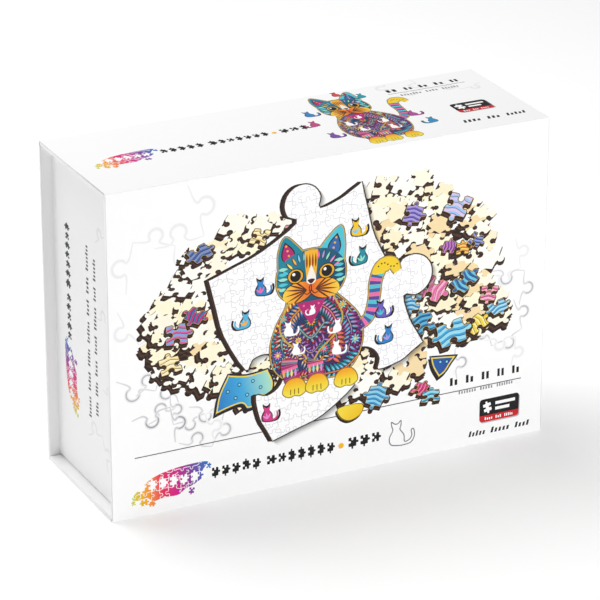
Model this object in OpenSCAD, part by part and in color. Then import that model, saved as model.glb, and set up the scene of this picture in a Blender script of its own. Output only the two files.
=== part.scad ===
// Boxed wooden jigsaw puzzle: a book-style rigid gift box with a magnetic flap,
// holding a folded picture sheet and 99 loose wooden pieces.
// The box stands on its flap, with the lid facing -Y, and the origin is under its middle.

/* [Box] */
// Width of the cover, left to right
box_w = 230; // [200:1:260]
// Height of the cover as it stands
box_h = 164; // [150:1:190]
// Depth of the cover, lid face to back face
box_d = 78; // [60:1:90]
// How far the cover stands proud of the tray's left and right walls
overhang = 5.5; // [2:0.5:8]

/* [Board and paper] */
// Thickness of the grey board inside every panel and wall
board_t = 1.5; // [1.5:0.1:2.5]
// Thickness of the wrap and liner papers
paper_t = 0.25; // [0.2:0.05:0.3]
// Width of the wrap that is turned over onto the inside of a panel
turn_in = 14; // [8:1:20]
// Thickness of the gummed paper tape at the tray's corners
tape_t = 0.1; // [0.08:0.01:0.15]
// Length of each leg of the corner tapes
tape_leg = 16; // [10:1:25]

/* [Hinges and closure] */
// Outer radius of the paper fold that each hinge turns on
fold_r = 0.2; // [0.15:0.05:0.25]
// Distance from a hinged corner to where a panel starts
hinge_gap = 0.55; // [0.55:0.05:0.8]
// Gap between the closed lid and the tray's rim
lid_gap = 0.4; // [0.3:0.1:1]
// Gap between the closed flap and the tray, and at the flap's free edge
flap_gap = 0.3; // [0.3:0.1:1]
// Diameter of the closure magnets
magnet_d = 12; // [8:1:15]
// Thickness of the closure magnets
magnet_t = 1; // [0.8:0.1:1.2]
// Diameter of the steel plates that the magnets pull on
keeper_d = 15; // [10:1:18]
// Thickness of the steel plates
keeper_t = 0.6; // [0.4:0.1:1]
// Distance between the two magnets
magnet_spacing = 140; // [80:5:180]

/* [Puzzle] */
// Side of a piece's body, without its knobs
piece_size = 21; // [18:0.5:21]
// Thickness of the laser-cut wood
piece_t = 4; // [3:0.5:4]
// Seed of the random cut
cut_seed = 11; // [1:1:50]

/* [Picture sheet] */
// Width of the folded sheet, an A4 sheet folded once
sheet_w = 210; // [160:1:210]
// Height of the folded sheet
sheet_h = 148.5; // [120:0.5:148.5]
// Thickness of one leaf
leaf_t = 0.2; // [0.15:0.05:0.3]
// Space between the leaves at the fold
leaf_gap = 0.4; // [0.3:0.1:0.6]

/* [Hidden] */
$fn = 48;

panel_t = board_t + 2 * paper_t;
beyond = 5; // how far a cutting tool runs past the material

// The tray fills the cover between the lid, the flap, the spine and the back.
tray_x = box_w / 2 - overhang;
tray_bottom = panel_t + flap_gap;
tray_top = box_h - panel_t;
tray_rim = -box_d / 2 + panel_t + lid_gap;
tray_back = box_d / 2 - panel_t;
wall_t = paper_t + tape_t + board_t + paper_t;
floor_y = tray_back - board_t - paper_t;
inner_x = tray_x - wall_t;
inner_bottom = tray_bottom + wall_t;
inner_top = tray_top - wall_t;

// The picture sheet stands against the tray's floor, and the loose pieces lie in front of it,
// in stacks on the bottom wall, two rows deep.
sheet_play = 0.3;
sheet_t = leaf_gap + 2 * leaf_t;
heap_front = tray_rim + 1;
heap_back = floor_y - sheet_t - 2 * sheet_play;
columns = 6;
rows = 2;
stack_heights = [9, 9, 8, 8, 7, 7, 9, 10, 9, 8, 8, 7]; // 99 pieces in all
layer_gap = 0.15;
layer_pitch = piece_t + layer_gap;
cell_w = 2 * inner_x / columns;
cell_d = (heap_back - heap_front) / rows;
cat_places = [[0, 6], [1, 8], [2, 0], [4, 3], [5, 11], [6, 1], [7, 7], [8, 8], [9, 7]]; // [layer, cell]
knob_r = 0.125;
knob_h = 0.14;
knob_steps = 8;
reach = piece_size * (0.5 + knob_r + knob_h); // middle of a piece to the end of a knob

// Extrudes a profile drawn in (y, z) along X, centred on the YZ plane.
module along_x(length) {
    translate([-length / 2, 0, 0])
        rotate([90, 0, 90])
            linear_extrude(length)
                children();
}

// Extrudes a profile drawn in (x, z) backwards from y to y + depth.
module along_y(y, depth) {
    translate([0, y + depth, 0])
        rotate([90, 0, 0])
            linear_extrude(depth)
                children();
}

// ---- Cover panels ----
// A panel's profile is drawn as (s, n): s runs along the wrap from the back panel's foot, over
// the spine and down the lid, and n is the depth under the outer face.
module in_back() translate([box_d / 2, 0]) rotate(90) children();
module in_spine() translate([box_d / 2, box_h]) rotate(180) children();
module in_lid() translate([-box_d / 2, box_h]) rotate(-90) children();
module in_flap() translate([-box_d / 2, 0]) children();

// One ply between depths n0 and n1. A mitred end slopes at 45 degrees, gap is its distance
// from the corner, and a square end is cut back by trim.
module ply(length, n0, n1, mitres, gaps, trims = [0, 0]) {
    start = [for (n = [n0, n1]) mitres[0] * n + gaps[0] + trims[0]];
    end = [for (n = [n0, n1]) length - mitres[1] * n - gaps[1] - trims[1]];
    polygon([[start[0], n0], [end[0], n0], [end[1], n1], [start[1], n1]]);
}

// Each panel as [length, mitred ends, gaps at its ends]
back_panel = [box_h, [0, 1], [0, 0]];
spine_panel = [box_d, [1, 1], [0, hinge_gap]];
lid_panel = [box_h, [1, 1], [hinge_gap, hinge_gap]];
flap_panel = [box_d - panel_t - flap_gap, [1, 0], [hinge_gap, 0]];

// A square end is wrapped, so its board stops a paper short and its liner stops a turn-in short.
function free_ends(panel, distance) = [for (m = panel[1]) (1 - m) * distance];

module board_ply(panel)
    ply(panel[0], paper_t, panel_t - paper_t, panel[1], panel[2], free_ends(panel, paper_t));

module liner_ply(panel)
    ply(panel[0], panel_t - paper_t, panel_t, panel[1], panel[2], free_ends(panel, turn_in));

// The wrap as cutters see it: the same plies, run past the mitred ends.
module run_past(panel, n0, n1, trim)
    ply(panel[0], n0, n1, [0, 0], -panel[1] * beyond, free_ends(panel, trim));

module wrap_paper(panel, where) {
    difference() {
        along_x(box_w)
            place(where) ply(panel[0], 0, panel_t, panel[1], panel[2]);
        along_x(box_w - 2 * paper_t)
            place(where) run_past(panel, paper_t, panel_t - paper_t, paper_t);
        along_x(box_w - 2 * turn_in)
            place(where) run_past(panel, panel_t - paper_t - 0.01, panel_t + 1, turn_in);
    }
}

module place(where) {
    if (where == "back") in_back() children();
    if (where == "spine") in_spine() children();
    if (where == "lid") in_lid() children();
    if (where == "flap") in_flap() children();
}

module cover_board(panel, where) {
    color("darkgray")
        along_x(box_w - 2 * paper_t)
            place(where) board_ply(panel);
}

module cover_wrap(panel, where) {
    color("white")
        wrap_paper(panel, where);
}

module cover_liner(panel, where) {
    color("whitesmoke")
        along_x(box_w - 2 * turn_in)
            place(where) liner_ply(panel);
}

// The rolled edge of the wrap paper, on the hinge's axis.
module paper_fold(z) {
    color("white")
        translate([-box_w / 2, -box_d / 2 + fold_r, z])
            rotate([0, 90, 0])
                cylinder(r = fold_r, h = box_w);
}

// ---- Magnetic closure ----
module at_magnets(y, z) {
    for (side = [-1, 1])
        translate([side * magnet_spacing / 2, y, z])
            children();
}

magnet_z = panel_t - paper_t - magnet_t; // under face of a magnet, let into the flap's board
keeper_z = tray_bottom + paper_t + tape_t; // the steel plates sit in the wall's outer face
disc_play = 0.1;

module flap_board() {
    difference() {
        cover_board(flap_panel, "flap");
        at_magnets(0, magnet_z)
            cylinder(d = magnet_d + 2 * disc_play, h = magnet_t + 0.5);
    }
}

module flap_magnets() {
    color("silver")
        at_magnets(0, magnet_z)
            cylinder(d = magnet_d, h = magnet_t);
}

module tray_keepers() {
    color("lightsteelblue")
        at_magnets(0, keeper_z)
            cylinder(d = keeper_d, h = keeper_t);
}

// ---- Tray ----
// The tray's outline in (x, z), moved in by an inset all round.
module tray_outline(inset) {
    translate([-tray_x + inset, tray_bottom + inset])
        square([2 * (tray_x - inset), tray_top - tray_bottom - 2 * inset]);
}

skin = paper_t + tape_t; // from the tray's outer face to its boards
walls_y = tray_rim + paper_t;
walls_depth = tray_back - board_t - walls_y;

module tray_floor_board() {
    color("darkgray")
        along_y(tray_back - board_t, board_t)
            tray_outline(skin);
}

// The top and bottom walls run the tray's full width, and the side walls stand between them.
module long_wall(z) {
    along_y(walls_y, walls_depth)
        translate([-tray_x + skin, z])
            square([2 * (tray_x - skin), board_t]);
}

module side_wall(side) {
    color("darkgray")
        along_y(walls_y, walls_depth)
            translate([side * (tray_x - skin - board_t / 2) - board_t / 2, tray_bottom + skin + board_t])
                square([board_t, tray_top - tray_bottom - 2 * (skin + board_t)]);
}

module tray_top_wall() {
    color("darkgray")
        long_wall(tray_top - skin - board_t);
}

module tray_bottom_wall() {
    color("darkgray")
        difference() {
            long_wall(tray_bottom + skin);
            at_magnets(0, keeper_z - 0.5)
                cylinder(d = keeper_d + 2 * disc_play, h = keeper_t + 0.5);
        }
}

module tray_corner_tapes() {
    color("tan")
        along_y(walls_y, tray_back - walls_y)
            intersection() {
                difference() {
                    tray_outline(paper_t);
                    tray_outline(skin);
                }
                for (x = [-tray_x, tray_x - tape_leg], z = [tray_bottom, tray_top - tape_leg])
                    translate([x, z])
                        square(tape_leg);
            }
}

// One sheet covers the walls outside, goes over the rim and down to the floor inside.
module tray_wrap() {
    color("white")
        difference() {
            along_y(tray_rim, tray_back - tray_rim) tray_outline(0);
            along_y(walls_y, tray_back - walls_y + 1)
                difference() {
                    tray_outline(paper_t);
                    tray_outline(wall_t - paper_t);
                }
            along_y(tray_rim - 1, tray_back - tray_rim + 2) tray_outline(wall_t);
            along_y(tray_back - board_t, board_t + 1) tray_outline(paper_t);
        }
}

module tray_floor_liner() {
    color("whitesmoke")
        along_y(floor_y, paper_t)
            tray_outline(wall_t);
}

// ---- Puzzle pieces ----
// A side of a piece from corner a to corner b, with the outside on its right: sign is 1 for
// a knob, -1 for a socket and 0 for a plain edge of the picture.
function knob_side(a, b, sign) =
    let (
        along = b - a,
        out = [along[1], -along[0]],
        at = function (u, v) a + u * along + v * out
    )
    sign == 0
    ? [a]
    : [
        a,
        at(0.5 - knob_r - 0.06, 0),
        for (i = [0 : knob_steps])
            let (angle = 225 - 270 * i / knob_steps)
            at(0.5 + knob_r * cos(angle), sign * (knob_h + knob_r * sin(angle))),
        at(0.5 + knob_r + 0.06, 0)
    ];

// The outline of a piece: a slightly uneven square with a knob or socket on each side.
function piece_outline(seed) =
    let (
        half = piece_size / 2,
        r = rands(0, 1, 12, seed),
        corner = [
            for (i = [0 : 3])
                let (sx = [-1, 1, 1, -1][i], sz = [-1, -1, 1, 1][i])
                [sx * half + 1.6 * (r[i] - 0.5), sz * half + 1.6 * (r[i + 4] - 0.5)]
        ],
        sign = [for (i = [0 : 3]) r[i + 8] < 0.12 ? 0 : (r[i + 8] < 0.56 ? 1 : -1)]
    )
    [for (i = [0 : 3]) each knob_side(corner[i], corner[(i + 1) % 4], sign[i])];

// Where a cell's piece lies, [x, y, turn], moved about by the room it has.
function cell_place(layer, cell) =
    let (
        r = rands(-1, 1, 3, cut_seed + 100 * layer + cell),
        column = cell % columns,
        row = floor(cell / columns),
        play = [cell_w / 2 - reach, cell_d / 2 - reach] * 0.9
    )
    [
        -inner_x + (column + 0.5) * cell_w + play[0] * r[0],
        heap_front + (row + 0.5) * cell_d + play[1] * r[1],
        180 * r[2]
    ];

module lay_piece(layer, cell) {
    spot = cell_place(layer, cell);
    translate([spot[0], spot[1], inner_bottom + layer_gap + layer * layer_pitch])
        rotate(spot[2])
            linear_extrude(piece_t)
                children();
}

function is_cat(layer, cell) = len([for (p = cat_places) if (p == [layer, cell]) p]) > 0;

module puzzle_layer(layer) {
    color("burlywood")
        for (cell = [0 : columns * rows - 1])
            if (layer < stack_heights[cell] && !is_cat(layer, cell))
                lay_piece(layer, cell)
                    polygon(piece_outline(cut_seed * 7 + 31 * layer + 5 * cell));
}

// A figure piece: a sitting cat seen from behind, with its tail curled to one side.
module cat_outline() {
    circle(r = 6.2);
    translate([0, 8.2]) circle(r = 4.3);
    for (side = [-1, 1]) {
        polygon([[side * 4.2, 9], [side * 4, 14.6], [side * 0.6, 12]]);
        translate([side * 3.2, -5.4]) circle(r = 2.2);
    }
    translate([6.6, -2.4])
        difference() {
            circle(r = 5);
            circle(r = 2.8);
            translate([-6, 0]) square([6, 6]);
        }
}

module cat_shaped_pieces() {
    color("peru")
        for (place = cat_places)
            lay_piece(place[0], place[1])
                translate([-1.8, -3])
                    cat_outline();
}

// ---- Picture sheet ----
// An A4 sheet folded once stands on its fold, against the tray's floor.
module picture_sheet() {
    bend_r = leaf_gap / 2 + leaf_t;
    color("ivory")
        translate([0, floor_y - sheet_play - bend_r, inner_bottom + sheet_play + bend_r])
            along_x(sheet_w) {
                for (side = [-1, 1])
                    translate([side * (leaf_gap + leaf_t) / 2 - leaf_t / 2, 0])
                        square([leaf_t, sheet_h - bend_r]);
                difference() {
                    circle(r = bend_r);
                    circle(r = leaf_gap / 2);
                    translate([-2, 0]) square(4);
                }
            }
}

cover_board(back_panel, "back");  // back_board
cover_board(spine_panel, "spine");  // spine_board
cover_board(lid_panel, "lid");  // lid_board
flap_board();
cover_wrap(back_panel, "back");  // back_wrap
cover_wrap(spine_panel, "spine");  // spine_wrap
cover_wrap(lid_panel, "lid");  // lid_wrap
cover_wrap(flap_panel, "flap");  // flap_wrap
cover_liner(back_panel, "back");  // back_liner
cover_liner(spine_panel, "spine");  // spine_liner
cover_liner(lid_panel, "lid");  // lid_liner
cover_liner(flap_panel, "flap");  // flap_liner
paper_fold(box_h - fold_r);  // lid_fold
paper_fold(fold_r);  // flap_fold
flap_magnets();
tray_keepers();
tray_floor_board();
tray_top_wall();
tray_bottom_wall();
side_wall(-1);  // tray_left_wall
side_wall(1);  // tray_right_wall
tray_corner_tapes();
tray_wrap();
tray_floor_liner();
picture_sheet();
puzzle_layer(0);  // puzzle_layer_1
puzzle_layer(1);  // puzzle_layer_2
puzzle_layer(2);  // puzzle_layer_3
puzzle_layer(3);  // puzzle_layer_4
puzzle_layer(4);  // puzzle_layer_5
puzzle_layer(5);  // puzzle_layer_6
puzzle_layer(6);  // puzzle_layer_7
puzzle_layer(7);  // puzzle_layer_8
puzzle_layer(8);  // puzzle_layer_9
cat_shaped_pieces();
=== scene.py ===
import math

import bmesh
import bpy
import numpy as np
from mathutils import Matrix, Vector
from mathutils.geometry import delaunay_2d_cdt


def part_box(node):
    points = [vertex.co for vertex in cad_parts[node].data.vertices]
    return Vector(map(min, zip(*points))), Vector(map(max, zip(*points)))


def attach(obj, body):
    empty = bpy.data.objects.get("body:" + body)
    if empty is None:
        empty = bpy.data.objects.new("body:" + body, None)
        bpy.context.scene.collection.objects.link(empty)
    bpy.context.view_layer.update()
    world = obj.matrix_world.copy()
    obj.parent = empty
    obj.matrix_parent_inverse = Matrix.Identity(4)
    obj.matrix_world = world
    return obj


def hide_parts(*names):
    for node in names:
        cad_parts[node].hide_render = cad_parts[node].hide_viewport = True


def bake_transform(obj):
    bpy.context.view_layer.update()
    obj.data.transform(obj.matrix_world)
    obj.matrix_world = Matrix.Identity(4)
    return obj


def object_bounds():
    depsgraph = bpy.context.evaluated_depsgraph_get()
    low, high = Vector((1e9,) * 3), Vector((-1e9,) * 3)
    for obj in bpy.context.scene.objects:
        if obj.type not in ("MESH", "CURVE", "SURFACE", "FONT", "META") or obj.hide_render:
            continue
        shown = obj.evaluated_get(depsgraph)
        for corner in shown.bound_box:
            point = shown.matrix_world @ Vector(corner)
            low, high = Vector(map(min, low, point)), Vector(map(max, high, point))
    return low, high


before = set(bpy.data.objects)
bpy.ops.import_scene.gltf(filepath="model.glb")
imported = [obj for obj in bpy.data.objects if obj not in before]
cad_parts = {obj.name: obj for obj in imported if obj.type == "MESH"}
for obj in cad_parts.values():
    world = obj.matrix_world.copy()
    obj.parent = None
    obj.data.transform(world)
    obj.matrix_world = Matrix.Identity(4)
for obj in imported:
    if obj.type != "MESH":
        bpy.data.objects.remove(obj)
cadBox = [list(corner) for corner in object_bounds()]
mm = 0.001
print("frame loaded,", len(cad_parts), "CAD nodes")


boxLow, boxHigh = np.array(cadBox[0]), np.array(cadBox[1])
coverSize = (boxHigh - boxLow) / mm  # width, depth and height in mm
coverW, coverD, coverH = [float(side) for side in coverSize]

camera = {
    "azimuth": -26.3,  # degrees round from the lid's own direction
    "elevation": 23.0,
    "distance": 1.671,
    "lens": 208.5,
    "aim": (0.0019, 0.0, 0.0761),
}


def standCamera(kit):
    turn, lift = math.radians(kit["azimuth"]), math.radians(kit["elevation"])
    back = Vector((math.sin(turn) * math.cos(lift), -math.cos(turn) * math.cos(lift), math.sin(lift)))
    data = bpy.data.cameras.new("camera")
    data.lens = kit["lens"]
    data.sensor_width = 36
    data.clip_end = 20
    seat = bpy.data.objects.new("camera", data)
    seat.location = Vector(kit["aim"]) + back * kit["distance"]
    seat.rotation_euler = back.to_track_quat("Z", "Y").to_euler()
    bpy.context.scene.collection.objects.link(seat)
    bpy.context.scene.camera = seat


standCamera(camera)

lights = [
    # name, place, aim, size, watts
    ("keySoftbox", (0.75, -1.6, 0.45), (0, 0, 0.08), 1.1, 17.2),
    ("backSoftbox", (-0.2, 0.5, 1.15), (0, 0, 0.12), 0.8, 9.5),
    ("fillSoftbox", (-1.2, 0.8, 0.85), (0, 0, 0.1), 0.7, 3.5),
]


def hangLight(name, place, aim, size, watts):
    data = bpy.data.lights.new(name, "AREA")
    data.energy = watts
    data.size = size
    lamp = bpy.data.objects.new(name, data)
    lamp.location = place
    lamp.rotation_euler = (Vector(place) - Vector(aim)).to_track_quat("Z", "Y").to_euler()
    bpy.context.scene.collection.objects.link(lamp)


for spec in lights:
    hangLight(*spec)

world = bpy.data.worlds.new("studio")
bpy.context.scene.world = world
world.use_nodes = True
world.node_tree.nodes["Background"].inputs["Color"].default_value = (1, 1, 1, 1)
world.node_tree.nodes["Background"].inputs["Strength"].default_value = 0.3
bpy.context.scene.view_settings.view_transform = "Standard"


def linear(hexColour):
    # sRGB hex to linear light: c / 12.92 in the toe, ((c + 0.055) / 1.055) ^ 2.4 above it
    c = np.array([int(hexColour[i:i + 2], 16) for i in (1, 3, 5)]) / 255
    return np.where(c <= 0.04045, c / 12.92, ((c + 0.055) / 1.055) ** 2.4)


def addNode(tree, kind, settings=None, links=None):
    # links gives, for each input, either a plain value or the (node, output) that feeds it
    node = tree.nodes.new(kind)
    for key, value in (settings or {}).items():
        setattr(node, key, value)
    for key, value in (links or {}).items():
        if isinstance(value, tuple) and hasattr(value[0], "outputs"):
            tree.links.new(value[0].outputs[value[1]], node.inputs[key])
        else:
            node.inputs[key].default_value = value
    return node


def rgba(hexColour):
    return (*linear(hexColour), 1)


def mixColours(tree, amount, first, second):
    # counted from 0, a Mix node's colour inputs are 6 and 7 and its colour output is 2
    return addNode(tree, "ShaderNodeMix", {"data_type": "RGBA"}, {"Factor": amount, 6: first, 7: second})


def noise(tree, place, size, detail=2.0, roughness=0.5):
    # cloudy noise, its features about size mm across
    return addNode(tree, "ShaderNodeTexNoise", links={
        "Vector": place, "Scale": 1 / (size * mm), "Detail": detail, "Roughness": roughness})


def relief(tree, height, strength, depth, settings=None):
    # a bump from a height between 0 and 1, depth mm deep
    return addNode(tree, "ShaderNodeBump", links={
        "Height": (height, "Fac"), "Strength": strength, "Distance": depth * mm, **(settings or {})})


def dress(tree, shader, colour, bump, settings):
    # colour is the (node, output) that gives it; settings are the shader's constants by socket
    tree.links.new(colour[0].outputs[colour[1]], shader.inputs["Base Color"])
    tree.links.new(bump.outputs["Normal"], shader.inputs["Normal"])
    for socket, value in settings.items():
        shader.inputs[socket].default_value = value


def newMaterial(name):
    material = bpy.data.materials.new(name)
    material.use_nodes = True
    tree = material.node_tree
    return material, tree, tree.nodes["Principled BSDF"]


# Art paper with a matt film: the print is the colour attribute, the film takes a soft wide
# highlight, and the board under it shows as a very shallow unevenness a few millimetres across.
def laminatedPrint(name, roughness=0.42):
    material, tree, shader = newMaterial(name)
    ink = addNode(tree, "ShaderNodeVertexColor", {"layer_name": "print"})
    place = addNode(tree, "ShaderNodeTexCoord"), "Object"
    fibre = relief(tree, noise(tree, place, 0.7, 3.0, 0.6), 0.12, 0.03)
    board = relief(tree, noise(tree, place, 9), 0.10, 0.25, {"Normal": (fibre, "Normal")})
    dress(tree, shader, (ink, "Color"), board, {
        "Roughness": roughness, "IOR": 1.49, "Specular IOR Level": 0.25})
    return material


# Uncoated paper, grey board, kraft tape and the like: a base colour that drifts a little, with
# fibres and specks at a stated spacing, and no gloss.
def plainPaper(name, base, speck, fibreSize, speckAmount, bumpDepth, roughness=0.85):
    material, tree, shader = newMaterial(name)
    place = addNode(tree, "ShaderNodeTexCoord"), "Object"
    fibre = noise(tree, place, fibreSize, 4.0, 0.7)
    drift = noise(tree, place, 25, 1.0)
    speckMask = addNode(tree, "ShaderNodeMapRange", links={
        "Value": (fibre, "Fac"), "From Min": 0.62, "From Max": 0.75, "To Min": 0.0, "To Max": speckAmount})
    tone = mixColours(tree, (drift, "Fac"), rgba(base), (*linear(base) * 0.94, 1))
    specked = mixColours(tree, (speckMask, "Result"), (tone, 2), rgba(speck))
    dress(tree, shader, (specked, 2), relief(tree, fibre, 0.5, bumpDepth), {"Roughness": roughness})
    return material


# A sheet is a list of inks, laid down in order. Each ink is a closed outline in mm with its
# paint: a hex colour, a gradient (from, to, [colours]), a shade (a factor on what is under it),
# or None for a mask that later inks may be clipped to by its name.
def lay(sheet, outline, paint, clip=None, mask=None):
    sheet.append({"outline": np.asarray(outline, float), "paint": paint, "clip": clip, "mask": mask})


def moved(points, shift=(0, 0), scale=1.0, turn=0.0):
    # scaled (one factor or one for each axis), turned by degrees, then shifted
    a = math.radians(turn)
    spin = np.array([[math.cos(a), math.sin(a)], [-math.sin(a), math.cos(a)]])
    return (np.asarray(points, float) * scale) @ spin + np.asarray(shift, float)


def transfer(sheet, inks, shift=(0, 0), scale=1.0, turn=0.0):
    # a finished drawing is put on another sheet at another size
    for item in inks:
        copy = dict(item)
        copy["outline"] = moved(item["outline"], shift, scale, turn)
        if isinstance(item["paint"], tuple) and len(item["paint"]) == 3:
            start, end = moved(item["paint"][:2], shift, scale, turn)
            copy["paint"] = (start, end, item["paint"][2])
        sheet.append(copy)


def cubicSpans(a, b, c, d, steps):
    # Catmull-Rom: b + (c - a) t / 2 + (2a - 5b + 4c - d) t^2 / 2 + (3b - a - 3c + d) t^3 / 2
    t = (np.arange(steps) / steps)[None, :, None]
    bent = (2 * a - 5 * b + 4 * c - d) * t ** 2 + (3 * b - a - 3 * c + d) * t ** 3
    return (0.5 * (2 * b + (c - a) * t + bent)).reshape(-1, 2)


def curve(points, steps=6):
    # an open smooth curve through the points, each end carried on straight for its tangent
    p = np.asarray(points, float)
    p = np.vstack([2 * p[0] - p[1], p, 2 * p[-1] - p[-2]])
    spans = cubicSpans(p[:-3, None], p[1:-2, None], p[2:-1, None], p[3:, None], steps)
    return np.vstack([spans, p[-2]])


def loop(points, steps=5):
    # a closed smooth curve through the points
    p = np.asarray(points, float)
    return cubicSpans(*[np.roll(p, k, axis=0)[:, None] for k in (1, 0, -1, -2)], steps)


def sides(*runs):
    # a closed outline of smooth sides that meet in sharp corners
    return np.vstack([curve(run)[:-1] for run in runs])


def oval(cx, cy, rx, ry=None, turn=0.0, count=20):
    # (rx cos t, ry sin t), turned and shifted
    t = np.arange(count) * 2 * math.pi / count
    return moved(np.column_stack([rx * np.cos(t), (ry or rx) * np.sin(t)]), (cx, cy), 1, turn)


def petal(x, y, length, width, turn):
    # a pointed leaf from its root: width grows as sin and its tip is drawn out
    t = np.linspace(0, 1, 7)
    half = width / 2 * np.sin(math.pi * t ** 0.8)
    top = np.column_stack([length * t, half])
    return moved(np.vstack([top, top[-2:0:-1] * [1, -1]]), (x, y), 1, turn)


def bar(x, y, w, h):
    return [(x, y), (x + w, y), (x + w, y + h), (x, y + h)]


def ribbon(path, width, closed=False):
    # a line of that width: the path moved half of it to each side along its normals
    p = np.asarray(path, float)
    if closed:
        p = np.vstack([p, p[:1]])
    tangent = np.gradient(p, axis=0)
    if closed:
        tangent[0] = tangent[-1] = p[1] - p[-2]
    length = np.maximum(np.hypot(*tangent.T), 1e-9)
    normal = np.column_stack([-tangent[:, 1], tangent[:, 0]]) / length[:, None]
    half = np.asarray(width) / 2 * np.ones(len(p))
    return np.vstack([p + normal * half[:, None], (p - normal * half[:, None])[::-1]])


knobArc = np.radians(225 - 270 * np.arange(9) / 8)  # round a knob, from one side of its neck


def knobSide(a, b, sign, knob=0.14, lean=0.0):
    # from a to b: straight, round an arc of 270 degrees with its neck on the side, straight
    a, b = np.asarray(a, float), np.asarray(b, float)
    along = b - a
    out = np.array([along[1], -along[0]])
    u = np.concatenate([[0, 0.5 - knob * 1.4], 0.5 + lean + knob * np.cos(knobArc), [0.5 + knob * 1.4]])
    v = np.concatenate([[0, 0.02], sign * (knob * 1.15 + knob * np.sin(knobArc)), [0.02]])
    return a + u[:, None] * along + v[:, None] * out


unitSquare = np.array([(-0.5, -0.5), (0.5, -0.5), (0.5, 0.5), (-0.5, 0.5)])


def pieceOutline(signs, uneven=0.0):
    # a unit square piece with a knob (1) or a socket (-1) on each side
    corners = unitSquare + uneven
    return np.vstack([knobSide(corners[k], corners[(k + 1) % 4], signs[k]) for k in range(4)])


def thePaint(paint, points):
    # the paint's colour in linear light at each point
    if isinstance(paint, tuple):
        start, end, colours = paint
        run = np.asarray(end, float) - np.asarray(start, float)
        t = np.clip((points - start) @ run / (run @ run), 0, 1) * (len(colours) - 1)
        k = np.minimum(t.astype(int), len(colours) - 2)
        stops = np.array([linear(c) for c in colours])
        return stops[k] + (stops[k + 1] - stops[k]) * (t - k)[:, None]
    return np.tile(linear(paint), (len(points), 1))


def finder(points):
    # Returns a function that gives the points inside an outline: those with a nonzero winding
    # number, which is the signed crossings of a ray towards +x summed over the outline's edges.
    order = np.argsort(points[:, 0])
    sortedX = points[order, 0]

    def inside(outline):
        low, high = outline.min(0), outline.max(0)
        near = order[np.searchsorted(sortedX, low[0]):np.searchsorted(sortedX, high[0])]
        near = near[(points[near, 1] > low[1]) & (points[near, 1] < high[1])]
        x1, y1 = outline.T
        x2, y2 = np.roll(outline, -1, axis=0).T
        slope = (x2 - x1) / np.where(y1 == y2, 1, y2 - y1)
        way = np.sign(y2 - y1)
        found = []
        for part in np.array_split(near, len(near) * len(outline) // 400000 + 1):
            px, py = points[part, 0][:, None], points[part, 1][:, None]
            hits = ((y1 <= py) != (y2 <= py)) & (x1 + (py - y1) * slope > px)
            found.append(part[hits @ way != 0])
        return np.concatenate(found)

    return inside


def within(points, outline):
    hit = np.zeros(len(points), bool)
    hit[finder(points)(outline)] = True
    return hit


def seenEdges(sheet):
    # An edge is left out if both its ends and its middle lie under a later ink, or outside every
    # mask of the name that its own ink is clipped to.
    starts = np.vstack([item["outline"] for item in sheet])
    ends = np.vstack([np.roll(item["outline"], -1, axis=0) for item in sheet])
    owner = np.repeat(np.arange(len(sheet)), [len(item["outline"]) for item in sheet])
    clips = np.array([item["clip"] or "" for item in sheet])
    samples = np.vstack([starts, ends, (starts + ends) / 2])
    inside = finder(samples)
    owners = np.tile(owner, 3)
    gone = np.zeros(len(samples), bool)
    masks = {}
    for k, item in enumerate(sheet):
        covers = item["paint"] is not None and not isinstance(item["paint"], float) and not item["clip"]
        holds = item["mask"] is not None and (clips == item["mask"]).any()
        if covers or holds:
            found = inside(item["outline"])
        if covers:
            gone[found[owners[found] < k]] = True
        if holds:
            masks.setdefault(item["mask"], np.zeros(len(samples), bool))[found] = True
    for name, region in masks.items():
        gone |= (clips[owners] == name) & ~region
    gone = gone.reshape(3, -1).all(0)
    return starts[~gone], ends[~gone]


bareMargin = 0.5  # every sheet's art stops this far inside its edges


def printed(sheet, corners, ground):
    # Cuts the face along every edge that shows, then gives each triangle the last ink that covers
    # it. Returns points, triangles and a colour for each triangle's corner.
    points = [Vector(c) for c in corners]
    edges = [(k, (k + 1) % len(corners)) for k in range(len(corners))]
    if sheet:
        starts, ends = seenEdges(sheet)
        low, high = np.min(corners, axis=0) + bareMargin, np.max(corners, axis=0) - bareMargin
        fits = ((starts > low) & (starts < high) & (ends > low) & (ends < high)).all(1)
        starts, ends = starts[fits], ends[fits]
        spots, which = np.unique(np.round(np.vstack([starts, ends]), 4), axis=0, return_inverse=True)
        pairs = np.unique(np.sort(which.reshape(2, -1).T + len(points), axis=1), axis=0)
        edges += [(int(a), int(b)) for a, b in pairs if a != b]
        points += [Vector(p) for p in spots]
    cut = delaunay_2d_cdt(points, edges, [], 0, 1e-4, False)
    place = np.array([tuple(v) for v in cut[0]])
    triangles = np.array(cut[2])
    inside = finder(place[triangles].mean(1))
    owner = np.full(len(triangles), -1)
    shade = np.ones(len(triangles))
    masks = {}
    for k, item in enumerate(sheet):
        covered = inside(item["outline"])
        if item["clip"]:
            covered = covered[masks[item["clip"]][covered]]
        if item["mask"]:
            mask = masks.setdefault(item["mask"], np.zeros(len(triangles), bool))
            mask[covered] = True
        if isinstance(item["paint"], float):
            shade[covered] *= item["paint"]
        elif item["paint"] is not None:
            owner[covered] = k
            shade[covered] = 1
    colour = np.empty((len(triangles), 3, 3))
    for k in np.unique(owner):
        mine = owner == k
        paint = ground if k < 0 else sheet[k]["paint"]
        colour[mine] = thePaint(paint, place[triangles[mine]].reshape(-1, 2)).reshape(-1, 3, 3)
    return place, triangles, colour * shade[:, None, None]


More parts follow.
